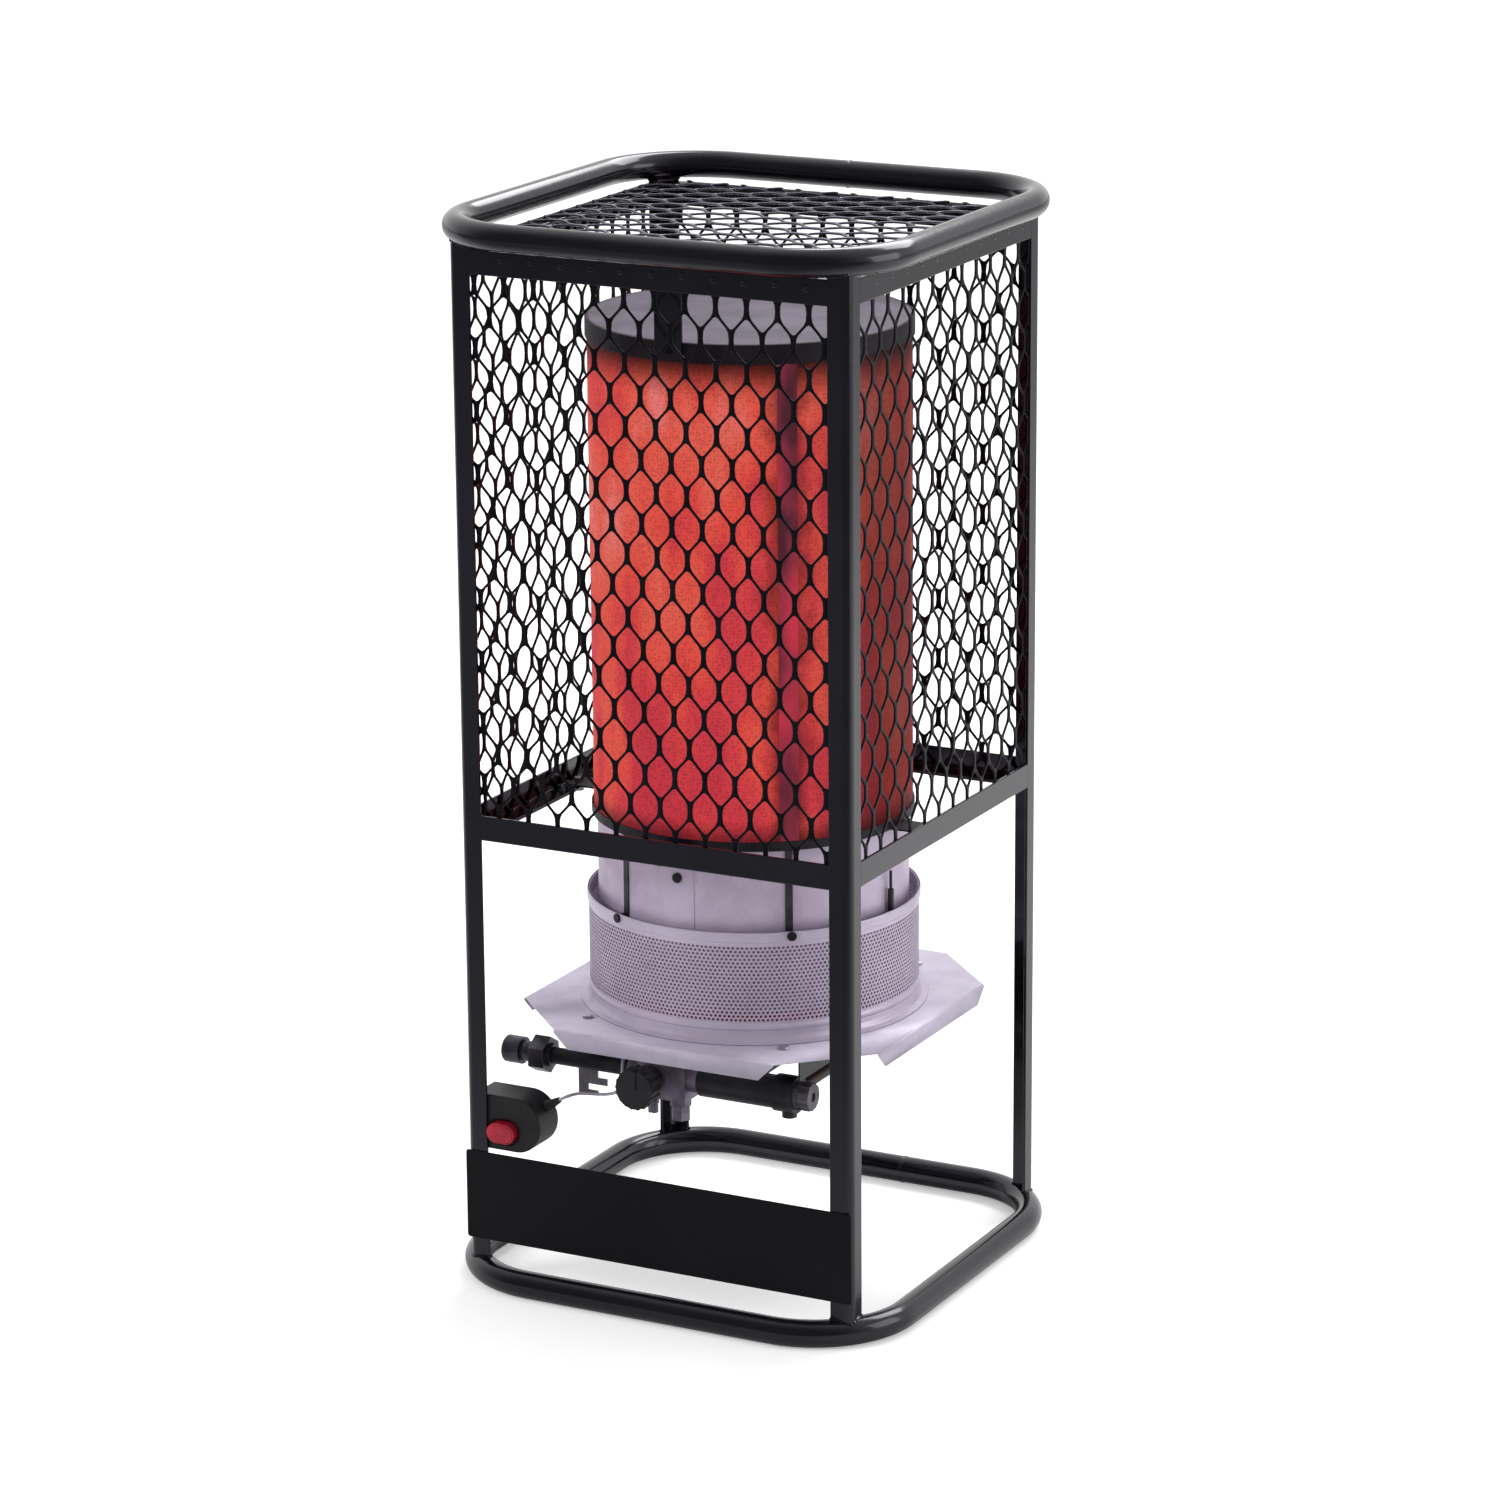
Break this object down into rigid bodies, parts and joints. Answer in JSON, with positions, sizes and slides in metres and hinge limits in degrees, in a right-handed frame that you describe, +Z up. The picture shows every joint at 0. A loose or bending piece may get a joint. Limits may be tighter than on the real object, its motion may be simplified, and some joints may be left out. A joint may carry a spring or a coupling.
{
  "type": "radiant gas heater",
  "caption": "Portable radiant gas heater: square tube and angle frame, expanded-metal guards, glowing cylindrical emitter, burner drum, gas valve with knob and a push igniter.",
  "frame": {"origin": "centre of the footprint of the lower tube ring, on the floor", "axes": "+Z up; the front with knob, igniter and plate faces -Y; the gas inlet points to -X"},
  "size_m": [0.396, 0.396, 0.864],
  "materials": {
    "frame_black": "satin black powder coat",
    "mesh_black": "satin black paint on expanded metal",
    "emitter_glow": "fine perforated sheet, glowing orange-red",
    "emitter_seam": "darker glowing seam",
    "cap_grey": "dull heat-stained steel",
    "burnt_steel": "dark scaled steel",
    "zinc_sheet": "plated sheet",
    "plated_steel": "zinc plated",
    "dark_steel": "dark plated",
    "brass": "machined",
    "black_pipe": "black painted pipe",
    "black_plastic": "moulded black",
    "red_plastic": "moulded red",
    "ceramic_dark": "dark glazed sleeve",
    "rubber_black": "matte",
    "lead_grey": "silicone sleeve",
    "cast_grey": "cast zinc body",
    "tube_copper": "drawn tube"
  },
  "bodies": {
    "heater": {"base_ring": "frame_black", "top_ring": "frame_black", "post_front_left": "frame_black", "post_front_right": "frame_black", "post_rear_left": "frame_black", "post_rear_right": "frame_black", "mid_rail_front": "frame_black", "mid_rail_rear": "frame_black", "mid_rail_left": "frame_black", "mid_rail_right": "frame_black", "top_rail_front": "frame_black", "top_rail_rear": "frame_black", "top_rail_left": "frame_black", "top_rail_right": "frame_black", "front_plate": "frame_black", "channel_left": "frame_black", "channel_right": "frame_black", "cap_bracket": "frame_black", "screen_front": "mesh_black", "screen_rear": "mesh_black", "screen_left": "mesh_black", "screen_right": "mesh_black", "top_grille": "mesh_black", "emitter_screen": "emitter_glow", "emitter_seam": "emitter_seam", "emitter_cap": "cap_grey", "emitter_base": "burnt_steel", "lug_bolts": "plated_steel", "burner_drum": "zinc_sheet", "drum_rivet": "plated_steel", "drum_straps": "plated_steel", "strap_rivets": "dark_steel", "electrode": "ceramic_dark", "electrode_nut": "plated_steel", "intake_collar": "zinc_sheet", "tray": "zinc_sheet", "tray_screws": "plated_steel", "burner_tube": "plated_steel", "burner_head": "burnt_steel", "gas_orifice": "brass", "inlet_fitting": "dark_steel", "inlet_pipe": "black_pipe", "pipe_bracket": "zinc_sheet", "valve_body": "cast_grey", "valve_bonnet": "dark_steel", "valve_nut": "brass", "valve_bleed_screw": "brass", "gas_pipe": "black_pipe", "pipe_tee": "black_pipe", "pipe_plug": "dark_steel", "feed_tube": "tube_copper", "igniter_body": "black_plastic", "igniter_boot": "rubber_black", "igniter_lead": "lead_grey"},
    "valve": {"valve_plug": "brass"},
    "knob": {"valve_knob": "black_plastic", "valve_stem": "plated_steel"},
    "button": {"igniter_button": "red_plastic"}
  },
  "joints": [
    {"name": "valve_turn", "type": "hinge", "parent": "heater", "child": "valve", "pos_m": [-0.032, -0.1, 0.174], "axis": [0, -1, 0], "range_deg": [-90, 0]},
    {"name": "knob_push", "type": "slide", "parent": "valve", "child": "knob", "axis": [0, 1, 0], "range_m": [0, 0.005], "stiffness_N_per_m": 600, "springref_m": -0.003},
    {"name": "igniter_press", "type": "slide", "parent": "heater", "child": "button", "axis": [0, 1, 0], "range_m": [0, 0.006], "stiffness_N_per_m": 500, "springref_m": -0.003}
  ]
}
